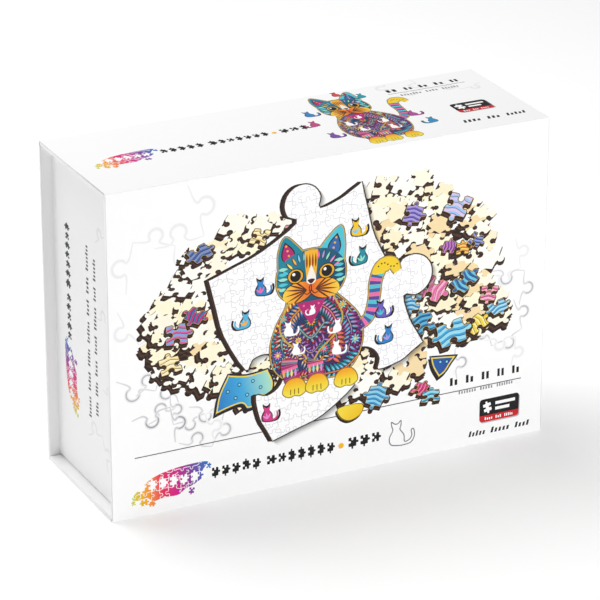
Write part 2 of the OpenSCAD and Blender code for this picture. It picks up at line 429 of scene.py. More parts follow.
ink = {
    "paper": "#FDFDFD",
    "black": "#121113",
    "edge": "#25150E",
    "edgeLight": "#4C2E20",
    "cut": "#DCDCE2",
    "gold": "#C9A545",
    "cream": ["#FFFEF6", "#FEF9E4", "#FCF1CF", "#FFFBEE", "#F6DDAC", "#FEF8E4", "#FFFEF8", "#FFF8DA"],
    "bright": ["#2C83C6", "#55B4DD", "#D53A84", "#F4C71E", "#1C8B9C", "#6C5CB8", "#EE9A38", "#9CC7EA"],
    "body": ["#11869C", "#B3246E", "#2B67A8", "#57449C", "#C2323E", "#0E6C78", "#CF6A26", "#86297F"],
    "light": ["#4CC3D6", "#F06AA8", "#7FC8F0", "#A79AE0", "#F7B13C", "#9BE0C8", "#FFE26B", "#E88BD0"],
    "spectrum": ["#C6D62E", "#F6A21C", "#E8305A", "#D0178A", "#7A3A9C", "#2E6FBE"],
}

# The big white piece under the cat: its corners from the left one round by the foot, and for each
# side the middle of its knob (along the side, out from it), the knob's radius and the side's bow,
# all as shares of the side's length.
bigPiece = {
    "corners": [(50.5, 113), (83, 24.5), (163.5, 60.5), (130, 148.5)],
    "sides": [(0.634, -0.085, 0.112, 0.04), (0.624, -0.09, 0.112, 0.045),
              (0.38, 0.072, 0.115, -0.045), (0.351, 0.084, 0.112, -0.03)],
    "thickness": (-2.3, 0.3),
    "shadow": (0.9, -0.9),
    "cat": ((103.5, 46.5), (0.97, 0.95)),  # where it stands, and its scale across and up
    "figures": [(77.5, 101, 1), (69, 86, -1), (80.5, 36, 1), (127, 122, 1), (130, 107.5, -1), (140.5, 78, 1),
                (144, 64.5, -1)],  # (x, y, facing) of the small cats on it
}


def bigOutline(kit):
    # each side bows as sin(pi u) and runs round its knob on an arc of 270 degrees
    runs = []
    for a, b, (u, v, r, bow) in zip(kit["corners"], kit["corners"][1:] + kit["corners"][:1], kit["sides"]):
        a, along = np.array(a, float), np.subtract(b, a)
        out = np.array([along[1], -along[0]])
        swell = np.array([0, 0.3, 0.62]) * (u - r)
        tail = 1 - np.array([0.62, 0.3, 0]) * (1 - u - r)
        across = np.concatenate([swell, u + r * np.cos(knobArc), tail])
        arcV = v + math.copysign(1, v) * r * np.sin(knobArc)
        lift = np.concatenate([bow * np.sin(math.pi * swell), arcV, bow * np.sin(math.pi * tail)])
        runs.append(curve(a + across[:, None] * along + lift[:, None] * out, 3)[:-1])
    return np.vstack(runs)


coarseKnob = [0, 1, 2, 4, 6, 8, 10, 11]  # the points of a knobSide that a fine line needs


def drawCutLines(sheet, box, pitch, clip, colour, width, rng):
    # a grid of wavy cuts with a knob in each span, as a laser cuts it
    x0, y0, x1, y1 = box
    columns, rows = int((x1 - x0) / pitch), int((y1 - y0) / pitch)
    jitter = rng.uniform(-0.27, 0.27, (rows + 1, columns + 1, 2)) * pitch
    crossings = np.meshgrid(x0 + pitch * np.arange(columns + 1), y0 + pitch * np.arange(rows + 1))
    grid = np.stack(crossings, -1) + jitter
    for line in [grid[k] for k in range(rows + 1)] + [grid[:, k] for k in range(columns + 1)]:
        spans = [knobSide(a, b, rng.choice([-1, 1]), 0.14, rng.uniform(-0.05, 0.05))
                 for a, b in zip(line[:-1], line[1:])]
        coarse = np.vstack([span[coarseKnob] for span in spans])
        lay(sheet, ribbon(coarse, width), colour, clip)


def drawLoosePiece(sheet, at, size, turn, squash, paint, rng, name, thick):
    # a wooden piece seen at a slant: its burnt edge is its own outline dragged down, its face on top
    signs = rng.choice([-1, 1], 4)
    face = moved(pieceOutline(signs, rng.uniform(-0.07, 0.07, (4, 2))), (0, 0), size, turn)
    face = moved(face * [1, squash], at)
    rim = at + (face - at) * 1.07
    for step, tone in ((1.0, "edge"), (0.6, "edgeLight"), (0.25, "edge")):
        lay(sheet, rim + np.array(thick) * step * size / 7, ink[tone])
    lay(sheet, face, paint, mask=name)
    return face


def decorate(sheet, face, at, size, turn, second, name):
    # a printed face: scalloped stripes of a second colour with dark rules, and a gold rim
    for k in range(-2, 3):
        path = [(-size, k), (-size / 2, k + 0.5), (0, k), (size / 2, k + 0.5), (size, k)]
        path = np.array(path) * [1, size / 4.2]
        line = moved(curve(path, 3), at, 1, turn)
        lay(sheet, ribbon(line, size / 8), second, name)
        lay(sheet, ribbon(line + [0, size / 12], 0.25), ink["edge"], name)
    lay(sheet, ribbon(face, 0.7, True), ink["gold"], name)
    lay(sheet, ribbon(face, 0.3, True), ink["edge"])


def drawHeap(sheet, region, pitch, sizes, tag, rng):
    # bare pieces scattered over a region, the far ones first, so that near ones lie on top
    outline = loop(region)
    low, high = outline.min(0), outline.max(0)
    lines = np.meshgrid(np.arange(low[0], high[0], pitch), np.arange(low[1], high[1], pitch))
    grid = np.stack(lines, -1).reshape(-1, 2)
    spots = grid + rng.uniform(-0.45, 0.45, grid.shape) * pitch
    spots = spots[within(spots, outline)]
    spots = spots[np.argsort(-spots[:, 1] + rng.uniform(-6, 6, len(spots)))]
    for k, spot in enumerate(spots):
        size, turn, squash = rng.uniform(*sizes), rng.uniform(0, 360), rng.uniform(0.5, 0.95)
        paint = str(rng.choice(ink["cream"]))
        thick = (rng.uniform(-1.7, -0.2), rng.uniform(-2.1, -0.9))
        drawLoosePiece(sheet, spot, size, turn, squash, paint, rng, f"{tag}{k}", thick)


def drawBrightPieces(sheet, pieces, tag, rng):
    # pieces of the picture itself: (x, y, size, first colour, second colour)
    for k, (x, y, size, first, second) in enumerate(pieces):
        turn = rng.uniform(0, 360)
        name = f"{tag}{k}"
        squash = rng.uniform(0.6, 0.95)
        face = drawLoosePiece(sheet, (x, y), size, turn, squash, first, rng, name, (-0.5, -1.1))
        decorate(sheet, face, (x, y), size, turn, second, name)


def drawDottedPiece(sheet, outline, paint, dots, name):
    # a large glossy piece: a dark rim, a yellow edging and ringed dots
    lay(sheet, outline + [-0.9, -1.3], ink["edge"])
    lay(sheet, outline, paint, mask=name)
    lay(sheet, ribbon(outline, 2.6, True), "#F2D64A", name)
    lay(sheet, ribbon(outline, 1.3, True), "#1C3F66", name)
    for x, y in dots:
        lay(sheet, oval(x, y, 1.0, count=12), "#12395C", name)
        lay(sheet, oval(x, y, 0.6, count=10), "#7FD8EA", name)
    lay(sheet, ribbon(outline, 0.5, True), ink["edge"])


pencil = {  # by strength: the broad stroke, the finer one in it and the point's own line
    1: ("#F7F7F8", "#EDEDEF", None),
    2: ("#F1F1F2", "#D8D8DB", "#B0B0B4"),
    3: ("#ECECEE", "#CBCBCF", "#8C8C92"),
}


def drawPencil(sheet, path, strength):
    # a soft pencil line: both strokes thin out at their ends
    line = curve(path, 3)
    swell = np.sin(math.pi * np.linspace(0.04, 0.96, len(line))) ** 0.6
    broad, fine, point = pencil[strength]
    lay(sheet, ribbon(line, 2.2 * swell), broad)
    lay(sheet, ribbon(line, 1.1 * swell), fine)
    if point:
        lay(sheet, ribbon(line[len(line) // 4:-len(line) // 4], 0.45), point)


def drawPencilSides(sheet, corners, drawn, signs, at, size, turn, strength):
    # some of the sides of a piece, each with its knob or socket
    for k, sign in zip(drawn, signs):
        after = corners[(k + 1) % 4]
        run = np.vstack([knobSide(corners[k], after, sign, 0.16), after])
        drawPencil(sheet, moved(run, at, size, turn), strength)


def drawPencilPieces(sheet, rng):
    # half-drawn jigsaw pieces on the paper at both ends
    for at, size, turn, drawn, strength in (
        ((33, 146), 24, 12, (0, 1), 1), ((22, 124), 22, -8, (1, 2, 3), 1), ((18, 101), 20, 25, (0, 3), 1),
        ((17, 78), 22, -20, (0, 1), 2), ((24, 58), 17, 30, (0, 1, 2), 2), ((40, 52), 15, 5, (0, 3), 2),
        ((22, 41), 20, 10, (1, 2), 3), ((46, 41), 18, -15, (0, 1, 2), 2), ((60, 40), 16, 20, (2, 3), 1),
        ((206, 96), 17, 8, (0, 1), 1), ((209, 80), 19, -12, (1, 2), 2), ((207, 62), 18, 15, (0, 1, 3), 2),
        ((190, 46), 19, 5, (2, 3), 2), ((205, 46), 16, -10, (1, 2), 1),
    ):
        corners = unitSquare + rng.uniform(-0.1, 0.1, (4, 2))
        signs = [rng.choice([-1, 1]) for side in drawn]
        drawPencilSides(sheet, corners, drawn, signs, at, size, turn, strength)


# A patchwork cat, 84 mm high, with its origin between its front paws.
cat = {
    "body": [(-10, 54), (-14, 47), (-19, 38), (-22, 27), (-20, 16), (-13, 9), (-2, 7), (8, 6), (18, 7),
             (25, 14), (28, 25), (26, 36), (20, 44), (14, 50), (10, 55)],
    "head": [(0, 49), (-9, 49.5), (-16, 54), (-18.5, 61), (-17, 69), (-10, 75), (0, 76.5), (10, 75),
             (17, 69), (18.5, 61), (16, 54), (9, 49.5)],
    "leftEar": [(-17.5, 66), (-17.5, 77), (-14, 85), (-8, 80), (-3.5, 74.5)],
    "rightEar": [(3.5, 74.5), (9, 81), (16, 86), (18, 77), (17.5, 66)],
    "legs": [(-11.5, 20, -9), (2.5, 17, 3.2)],
    "feathers": [  # (path, length of a barb)
        ([(-21, 36), (-22, 27), (-19, 17)], 7), ([(26, 40), (29, 29), (27, 17)], 7),
        ([(-8, 53), (-15, 47), (-20, 38)], 6), ([(9, 53), (16, 47), (22, 39)], 6),
        ([(-13, 38), (-16, 29), (-14, 19)], 6), ([(19, 38), (22, 29), (20, 18)], 7),
        ([(-4, 47), (-10, 42), (-13, 35)], 5.5), ([(4, 47), (10, 42), (14, 35)], 5.5),
        ([(26, 15), (18, 9), (8, 8)], 6), ([(-9, 33), (-10, 26), (-7, 19)], 5),
        ([(12, 33), (14, 25), (12, 16)], 5.5), ([(-17, 12), (-9, 9), (-2, 9)], 5),
        ([(-7, 36), (0, 29), (7, 36)], 5), ([(-6, 27), (0, 21), (7, 27)], 5),
        ([(-4, 18), (1, 13), (7, 18)], 4.5),
    ],
    "rosettes": [  # (x, y, radius)
        (-15, 42, 4.2), (17, 44, 4.6), (24, 24, 5.2), (-18, 23, 4.4), (0, 38, 4.6), (7, 22, 4.4),
        (-7, 29, 3.6),
    ],
    "whiteCats": [  # (x, y, size, facing)
        (-12, 33, 7, 1), (0.5, 42, 4.6, -1), (14, 30, 6.5, -1), (-8, 22, 6, 1), (14, 18, 7, 1),
    ],
    "tail": [(24, 30), (31, 34), (34, 43), (35, 53), (38, 60), (44, 61), (47, 56)],
}


def drawRosette(sheet, x, y, radius, tones, clip, turn=0.0):
    # rings of outlined petals about a middle, the outer ring longer than the inner
    first, second, heart = tones
    for ring, count, size in ((0, 12, 1.0), (1, 8, 0.62)):
        for k in range(count):
            angle = turn + 360 * (k + 0.5 * ring) / count
            wide = radius * size ** 0.5
            lay(sheet, petal(x, y, radius * size, wide * 0.42, angle), ink["edge"], clip)
            lay(sheet, petal(x, y, radius * size * 0.9, wide * 0.29, angle), (first, second)[ring], clip)
    lay(sheet, oval(x, y, radius * 0.24, count=14), ink["gold"], clip)
    lay(sheet, oval(x, y, radius * 0.15, count=12), heart, clip)


def drawFeather(sheet, path, length, tone, light, spine, clip):
    # barbs square to the path on both its sides, each dark-rimmed with a light heart, and a spine
    line = curve(path, 4)
    tangent = np.gradient(line, axis=0)
    heading = np.degrees(np.arctan2(tangent[:, 1], tangent[:, 0]))
    for side in (-1, 1):
        for (x, y), turn in zip(line, heading):
            angle = turn + side * 62
            lay(sheet, petal(x, y, length, length * 0.42, angle), ink["edge"], clip)
            lay(sheet, petal(x, y, length * 0.92, length * 0.30, angle), tone, clip)
            lay(sheet, petal(x, y, length * 0.62, length * 0.12, angle), light, clip)
    lay(sheet, ribbon(line, 1.5), ink["edge"], clip)
    lay(sheet, ribbon(line, 1.05), spine, clip)
    lay(sheet, ribbon(line, 0.3), ink["gold"], clip)


def drawBands(sheet, path, widths, tones, clip):
    # stripes across a limb: short quads square to the path
    line = curve(path, 5)
    tangent = np.gradient(line, axis=0)
    normal = np.column_stack([-tangent[:, 1], tangent[:, 0]]) / np.hypot(*tangent.T)[:, None]
    for k in range(len(line) - 1):
        a, b = line[k], line[k + 1]
        na, nb = normal[k] * widths, normal[k + 1] * widths
        lay(sheet, [a - na, b - nb, b + nb, a + na], tones[k % len(tones)], clip)
        lay(sheet, ribbon([b - nb, b + nb], 0.22), ink["gold"], clip)


# a small cat that sits with its tail out, 16 high
catOutline = [(-5, 0), (-6, 5), (-3.5, 10), (-4.2, 13), (-4.6, 16.5), (-2, 14.6), (0.5, 14.6), (2.6, 16.5),
              (2.6, 12.5), (2, 10), (5, 5.5), (5.5, 0.5), (9, 1), (11, 4), (10.5, 8), (12.3, 8.4),
              (13, 3.5), (10.5, -1), (5, -2), (0, -1.6)]


def drawFigure(sheet, at, size, paint, flip=1):
    lay(sheet, moved(loop(catOutline, 3), at, (size * flip / 16, size / 16)), paint)


def catInks():
    art = []
    outlines = {part: loop(cat[part]) for part in ("body", "head")}
    ears = {part: curve(cat[part], 5) for part in ("leftEar", "rightEar")}
    tail = curve(cat["tail"], 6)
    tailWidth = np.interp(np.linspace(0, 1, len(tail)), (0, 0.3, 0.75, 1), (5.0, 5.6, 7.2, 3.5))
    # a gold rim round the whole figure, with a thin dark line outside it
    for grow, tone in ((1.7, ink["edge"]), (1.1, ink["gold"])):
        lay(art, ribbon(tail, tailWidth + grow), tone)
        for part in ("body", "head"):
            lay(art, ribbon(outlines[part], grow, True), tone)
        for part in ("leftEar", "rightEar"):
            lay(art, ribbon(ears[part], grow), tone)
    # tail: bands of blue and violet, then a yellow tip with dots
    lay(art, ribbon(tail, tailWidth), ink["body"][2], mask="tail")
    bands = [ink["body"][2], ink["light"][0], ink["body"][3], ink["light"][1]]
    drawBands(art, cat["tail"][:5], 4.5, bands, "tail")
    tip = loop([(33, 57), (40, 56), (45, 52), (52, 54), (50, 64), (40, 67), (33, 64)])
    lay(art, tip, "#F3CF2C", "tail")
    for k in range(7):
        lay(art, oval(36.5 + 1.7 * k, 60.5 + 1.4 * math.sin(k), 0.45, count=8), ink["edge"], "tail")
    # body: feathers along curves over it, with a few rosettes between them
    lay(art, outlines["body"], ((-20, 50), (20, 5), ["#153F5E", "#2A2F6B", "#4B1F55"]), mask="body")
    for k, (path, length) in enumerate(cat["feathers"]):
        tone, light = ink["body"][(3 * k) % 8], ink["light"][(3 * k + k // 3) % 8]
        drawFeather(art, path, length, tone, light, ink["body"][(3 * k + 4) % 8], "body")
    for k, (x, y, radius) in enumerate(cat["rosettes"]):
        tones = [ink["body"][(3 * k + 1) % 8]] + [ink["light"][n % 8] for n in (5 * k, k + 3)]
        drawRosette(art, x, y, radius, tones, "body", 11 * k)
    # chest: a pointed collar and a heart-shaped necklace line
    collar = sides([(-9, 52), (-5, 44), (0, 36)], [(0, 36), (5, 44), (9, 52)], [(9, 52), (0, 49), (-9, 52)])
    lay(art, collar, ink["body"][1], "body")
    for k in range(5):
        lay(art, oval(-4 + 2 * k, 47 - 2.4 * (2 - abs(k - 2)), 0.6, count=8), ink["light"][1], "body")
    heart = curve([(-12, 50), (-17, 38), (-13, 29), (-5, 22), (0, 16), (5, 22), (13, 29), (17, 38), (12, 50)])
    lay(art, ribbon(heart, 0.9), ink["gold"], "body")
    # front legs with bands, then yellow paws
    for x, top, foot in cat["legs"]:
        leg = [(x, top), (x - 0.3, 15), (foot, 6)]
        lay(art, ribbon(curve(leg, 4), 9.6), ink["edge"])
        lay(art, ribbon(curve(leg, 4), 8.8), ink["body"][3], mask="legs")
        drawBands(art, leg, 4.4, [ink["body"][1], ink["light"][1], ink["body"][0], ink["body"][7]], "legs")
        for k in range(4):
            lay(art, petal(x - 3.3 + 2.1 * k, 10, 4.5, 1.2, 90), ink["light"][(k + 4) % 8], "legs")
    for x, wide in ((-9, 6.2), (3.2, 6.0), (19, 6.2)):
        toes = [(wide, 1.5), (wide / 2, -0.8), (0, -0.3), (-wide / 2, -0.8), (-wide, 1.5)]
        back = [(0.8 - wide, 5.5), (-2.5, 8.5), (2.5, 8.5), (wide - 0.8, 5.5)]
        paw = loop(np.array(toes + back) + [x, 0])
        lay(art, ribbon(paw, 1.0, True), "#8C6A1C")
        lay(art, paw, ((x, 8), (x, 0), ["#F5A21F", "#F2CF2F", "#F6E04A"]))
        for k in (-1, 0, 1):
            lay(art, ribbon([(x + 2.1 * k, 3.2), (x + 2.2 * k, 0.2)], 0.5), "#7A5A18")
    # ears, head and its stripes
    for part, side in (("leftEar", -1), ("rightEar", 1)):
        lay(art, ears[part], ink["light"][0] if side > 0 else ink["body"][0], mask=part)
        lean = math.degrees(math.atan2(14, side * 3.5))
        lay(art, petal(side * 11, 70, 13, 7.5, lean), ink["edge"], part)
        lay(art, petal(side * 11, 70, 12, 6.3, lean), ink["body"][1] if side < 0 else ink["body"][2], part)
        for k in range(4):
            lay(art, oval(side * (11.3 + 0.7 * k), 72.5 + 2.6 * k, 0.6, count=8), ink["light"][4], part)
    lay(art, outlines["head"], ((-16, 75), (14, 52), ["#2389A0", "#0F6079", "#173F63"]), mask="head")
    for side in (-1, 1):
        for k in range(7):
            x, y, lean = side * (4 + 2 * k), 70.5 - 0.35 * k * k, 90 - side * 14 * k
            lay(art, petal(x, y, 5.5, 1.7, lean), ink["edge"], "head")
            lay(art, petal(x, y + 0.3, 4.6, 1.1, lean), ink["light"][(k * 2 + (side > 0)) % 8], "head")
        for k in range(5):
            lash = petal(side * 17.5, 57.5 + 2.7 * k, 5.2, 1.8, 180 if side > 0 else 0)
            lay(art, lash, ink["light"][0 if k % 2 else 5], "head")
        cheek = oval(side * 7.2, 54.8, 8.2, 5.3, side * -12)
        lay(art, ribbon(cheek, 0.9, True), ink["edge"], "head")
        lay(art, cheek, ((0, 55), (side * 15, 55), ["#E4631E", "#F29A2A", "#F9D24A"]), mask="cheek")
        for k in range(6):
            angle = (180 if side < 0 else 0) + side * (k - 2.5) * 16
            lay(art, petal(side * 2.2, 55.2, 12.5, 0.9, angle), "#5A2A16", "cheek")
    # blaze, nose, mouth and eyes
    blaze = sides([(-3.6, 75.8), (-3.2, 68), (-2.4, 60)], [(-2.4, 60), (0, 58), (2.4, 60)],
                  [(2.4, 60), (3.2, 68), (3.6, 75.8)], [(3.6, 75.8), (0, 76.3), (-3.6, 75.8)])
    lay(art, blaze, "#F2B32E", "head")
    for k in range(4):
        lay(art, petal(-2.4 + 1.6 * k, 66.5, 8, 1.0, 90), "#8F3B17", "head")
    lay(art, loop([(-2.6, 60), (-1, 66), (0, 68), (1, 66), (2.6, 60), (0, 58)]), "#F6EFE4", "head")
    lay(art, sides([(-2.1, 60.4), (0, 60.9), (2.1, 60.4)], [(2.1, 60.4), (1, 58.9), (0, 58.2)],
                   [(0, 58.2), (-1, 58.9), (-2.1, 60.4)]), "#3A1C14")
    lay(art, ribbon(curve([(-3.6, 53.4), (-1.6, 53), (0, 55), (0, 58)], 4), 0.5), "#3A1C14")
    lay(art, ribbon(curve([(3.6, 53.4), (1.6, 53), (0, 55)], 4), 0.5), "#3A1C14")
    for side in (-1, 1):
        x, y = side * 8.4, 63.6
        lay(art, oval(x, y, 4.5, 4.1, side * 12), ink["edge"])
        lay(art, oval(x, y, 4.0, 3.6, side * 12), "#E8A92C")
        lay(art, oval(x, y, 2.9, 3.0), "#120E10")
        lay(art, oval(x - 1.0, y + 1.1, 0.85, count=10), "#FFFFFF")
    # small white cats cut out of the body
    for x, y, size, flip in cat["whiteCats"]:
        drawFigure(art, (x, y), size, "#FFFFFF", flip)
    return art


glyphGap = 0.345  # between the pieces of a word, as a share of their size


def drawGlyphs(sheet, x, y, size, widths, paint, rng):
    # a word of small jigsaw pieces in a row; returns where the next one may start
    for wide in widths:
        signs = [rng.choice([-1, 1]), 1, rng.choice([-1, 1]), -1]
        at = (x + size * wide / 2, y + size * 0.6)
        lay(sheet, moved(pieceOutline(signs), at, (size * wide * 0.84, size)), paint)
        x += size * (wide + glyphGap)
    return x


spectrumPatch = {  # in shares of the patch's box
    "outline": [(0.0, 0.22), (0.1, 0.5), (0.28, 0.8), (0.52, 0.95), (0.8, 1.0), (1.0, 0.96), (0.93, 0.72),
                (0.94, 0.5), (0.82, 0.3), (0.7, 0.2), (0.6, 0.04), (0.42, 0.06), (0.28, 0.0), (0.2, 0.16),
                (0.1, 0.12)],
    "loose": [(0.16, 0.02, 0.2), (0.02, 0.06, 0.13), (0.26, -0.08, 0.16), (0.78, 0.1, 0.18),
              (1.01, 0.8, 0.14)],  # (x, y, size) of the loose pieces
}


def drawSpectrum(sheet, box, rng):
    # a leaning patch whose colour runs through the spectrum, cut into pieces, with a few loose ones
    x0, y0, x1, y1 = box
    wide, high = x1 - x0, y1 - y0
    ramp = ((x0, y0), (x1, y0 + high * 0.3), ink["spectrum"])
    lay(sheet, loop(np.array(spectrumPatch["outline"]) * [wide, high] + [x0, y0], 3), ramp, mask="spectrum")
    for u, v, size in spectrumPatch["loose"]:
        shape = pieceOutline(rng.choice([-1, 1], 4))
        lay(sheet, moved(shape, (x0 + u * wide, y0 + v * high), size * high, rng.uniform(-20, 20)), ramp)
    drawCutLines(sheet, (x0, y0, x1 + 3, y1 + 3), high / 3.2, "spectrum", "#FFFFFF", 0.3, rng)


def drawTitle(sheet, x, y, size, rng, short=False):
    # a light word on the spectrum and two dark ones, then, if not short, a yellow dot and a third
    drawSpectrum(sheet, (x - size * 0.7, y - size * 1.5, x + size * 9.0, y + size * 2.3), rng)
    x = drawGlyphs(sheet, x, y, size, [1] * 7, "#FFFFFF", rng)
    x = drawGlyphs(sheet, x, y, size * 1.06, [0.9] * 5, ink["black"], rng) + size * 0.5
    x = drawGlyphs(sheet, x, y, size * 1.06, [1.1] + [0.86] * 6, ink["black"], rng) + size * 0.6
    if not short:
        lay(sheet, oval(x, y + size * 0.5, size * 0.36), "#F6B71A")
        drawGlyphs(sheet, x + size * 0.9, y, size * 1.15, [1.05, 1, 0.95], ink["black"], rng)


def drawDashes(sheet, x, y, width, height, words, paint, rng, lean=0.0):
    # stands in for a line of small print: words of short bars of equal height
    wordGap = height * 0.9
    lengths = rng.uniform(0.7, 1.4, words)
    lengths *= (width - (words - 1) * wordGap) / lengths.sum()
    for length in lengths:
        count = max(2, int(length / (height * 0.62)))
        pitch = length / count
        for k in range(count):
            tall = height * (1.0 if k == 0 else rng.choice([0.72, 0.72, 0.95]))
            slant = [[0, 0], [0, 0], [lean * tall, 0], [lean * tall, 0]]
            lay(sheet, np.array(bar(x + k * pitch, y, pitch * 0.58, tall)) + slant, paint)
        x += length + wordGap


def drawLabel(sheet, x, y, width, height, rng):
    # a plain dark label: a white piece, white bars and a red band at its foot
    band = height * 0.28
    corner = height * 0.14
    box = np.array(bar(x, y, width, height), float)
    centres = box + corner * np.array([(1, 1), (-1, 1), (-1, -1), (1, -1)])
    rounded = np.vstack([moved(oval(0, 0, corner, count=16)[4 * k:4 * k + 5], c)
                         for k, c in zip((2, 3, 0, 1), centres)])
    lay(sheet, rounded + [height * 0.04, -height * 0.05], "#B9B9BC")
    lay(sheet, rounded, ink["black"], mask="label")
    lay(sheet, bar(x, y, width, band), "#C81E28", "label")
    at = (x + width * 0.2, y + height * 0.62)
    lay(sheet, moved(pieceOutline([1, -1, 1, -1]), at, height * 0.34, 12), "#FFFFFF")
    for k, length in enumerate((0.5, 0.36)):
        low = y + height * (0.68 - 0.24 * k)
        lay(sheet, bar(x + width * 0.4, low, width * length, height * 0.13), "#FFFFFF")
    drawDashes(sheet, x + width * 0.14, y + band * 0.28, width * 0.72, band * 0.45, 3, "#FFFFFF", rng)


def drawSideBlock(sheet, x, y, scale, rng):
    # the block at the right: two lines of small print, the label and a line that leans
    drawDashes(sheet, x, y + 27 * scale, 40 * scale, 4.2 * scale, 5, ink["black"], rng)
    drawDashes(sheet, x + 5 * scale, y + 21.5 * scale, 31 * scale, 2.1 * scale, 3, "#8F8F93", rng)
    drawLabel(sheet, x + 17 * scale, y + 3.4 * scale, 22.5 * scale, 12.5 * scale, rng)
    drawDashes(sheet, x + 11 * scale, y - 3.2 * scale, 35 * scale, 3.0 * scale, 3, "#2A2A2C", rng, 0.25)


def drawPuzzlePicture(sheet, rng, cutPitch=6.4):
    # the big piece with its shadow and cut lines, the cat on it and figure pieces round it
    outline = bigOutline(bigPiece)
    for k in range(7, 0, -1):
        shift = np.array(bigPiece["shadow"]) * (0.4 + 0.45 * k)
        lay(sheet, outline + shift, 0.985 - 0.035 * (7 - k))
    for k in (1.0, 0.75, 0.5, 0.25):
        edge = ink["edge"] if k > 0.4 else ink["edgeLight"]
        lay(sheet, outline + np.array(bigPiece["thickness"]) * k, edge)
    lay(sheet, outline, "#FFFFFF", mask="panel")
    drawCutLines(sheet, (48, 22, 168, 154), cutPitch, "panel", ink["cut"], 0.4, rng)
    lay(sheet, ribbon(outline, 0.9, True), "#6B564C", "panel")
    lay(sheet, ribbon(outline, 0.45, True), ink["edge"])
    transfer(sheet, catInks(), *bigPiece["cat"])
    for k, (x, y, flip) in enumerate(bigPiece["figures"]):
        tones = ink["bright"][k % 6], ink["light"][(3 * k + 1) % 8]
        drawFigure(sheet, (x, y), 8.6, ink["edge"], flip)
        drawFigure(sheet, (x + 0.1, y + 0.35), 6.9, tones[0], flip)
        for turn in (60, 100, 140):
            lay(sheet, petal(x, y + 0.8, 3.4, 0.9, turn), tones[1])


brightPieces = {  # (x, y, size, first colour, second colour)
    "left": [
        (47, 127, 10, "#3C5F9E", "#7E8FC0"), (77, 130, 9, "#F6DDA0", "#FBEFC4"),
        (44, 97, 9.5, "#C42C77", "#2D6FA8"), (34, 89, 11, "#E05C98", "#7FA6DC"),
        (31, 74, 10, "#F4DE9A", "#FBF0C8"), (92, 131, 6, "#D8549A", "#F2A0C6"),
    ],
    "right": [
        (181, 128, 12, "#9CC4EE", "#D9C6EE"), (157, 127, 9, "#6A5AB0", "#A79AE0"),
        (177, 107, 7, "#7A3A9C", "#D889D0"), (184, 105, 7, "#F0913A", "#FBD06A"),
        (191, 108, 7, "#3A4F9A", "#8AA0DC"), (168, 87, 12, "#E36AA4", "#F6B0CC"),
        (157, 82, 9, "#3F8FC8", "#9CD4EA"), (186, 88, 11, "#2B5F9E", "#6AC4E0"),
        (199, 79, 9, "#E3609C", "#F8B4D0"), (204, 71, 9, "#3A98CE", "#A8DCEE"),
        (163, 70, 11, "#1E6AA0", "#58B4D8"), (192, 64, 10, "#F2D23C", "#FBEE9A"),
        (178, 62, 14, "#3FA2D6", "#9ADCF0"), (157, 61, 7, "#B02670", "#E36AA4"),
    ],
    "foot": [
        (138, 37, 10, "#3B93CC", "#8ED0EA"), (162, 36, 8.5, "#C42C6A", "#F07AA8"),
        (168, 31, 9.5, "#2F9BD0", "#8EDCF0"),
    ],
}

heaps = {  # by tag: the region's outline, the pitch and the least and greatest size
    "leftHeap": ([(22, 94), (32, 112), (46, 133), (62, 138), (84, 138), (92, 130), (70, 122), (58, 112),
                  (60, 92), (66, 66), (52, 58), (34, 60), (24, 76)], 7.3, (9, 12.5)),
    "rightHeap": ([(128, 130), (144, 148), (158, 148), (176, 138), (196, 124), (204, 104), (196, 92),
                   (206, 72), (196, 60), (172, 60), (152, 44), (120, 42), (118, 62), (150, 70), (156, 100),
                   (140, 112)], 7.3, (9, 13)),
    "socketHeap": ([(66, 48), (68, 74), (86, 72), (88, 50)], 5.5, (8, 10)),
}

ruleLine = (12, 30.4, 206)  # where the thin rule starts, and its length


def frontInks(rng):
    art = []
    drawPencilPieces(art, rng)
    for tag, (region, pitch, sizes) in heaps.items():
        drawHeap(art, region, pitch, sizes, tag, rng)
    drawBrightPieces(art, brightPieces["left"], "leftBright", rng)
    drawBrightPieces(art, brightPieces["right"], "rightBright", rng)
    wedge = sides([(53, 44), (55, 54), (60, 64)], [(60, 64), (70, 62), (81, 63)],
                  [(81, 63), (84, 55), (82, 47)],
                  [(82, 47), (77, 49), (75, 45), (70, 44), (67, 47), (60, 46), (53, 44)])
    drawDottedPiece(art, wedge, ((54, 50), (82, 56), ["#2A78C0", "#3CA6DA", "#A8DFC8"]),
                    [(60, 55), (64, 51), (66, 57.5), (70, 51.5), (73, 58), (77, 54)], "wedge")
    lay(art, bar(*ruleLine, 0.5), "#4A4A4F")
    drawPuzzlePicture(art, rng)
    corner = sides([(167, 52), (168.5, 46), (172, 39.5)], [(172, 39.5), (176, 42), (179, 46), (182.5, 50)],
                   [(182.5, 50), (175, 51), (167, 52)])
    drawDottedPiece(art, corner, ((168, 50), (180, 42), ["#1F5FA8", "#2B4C9A"]),
                    [(173, 48), (176.5, 47.5)], "corner")
    half = loop([(117.5, 34.5), (119, 29.5), (124, 26.8), (130, 29), (131.5, 34), (126, 35.5)])
    lay(art, half + [-0.8, -1.0], ink["edge"])
    lay(art, half, ((118, 36), (128, 28), ["#F7E04A", "#F1C318"]), mask="half")
    lay(art, ribbon(half * [0.96, 0.96] + [5.0, 1.3], 0.35, True), ink["edge"], "half")
    drawBrightPieces(art, brightPieces["foot"], "footBright", rng)
    drawTitle(art, 13, 12.6, 4.05, rng)
    icon = moved(loop(catOutline, 4), (150, 9.5), 0.72)
    lay(art, ribbon(icon, 0.55, True), "#6A6A6E")
    drawSideBlock(art, 178.5, 7.6, 0.98, rng)
    return art


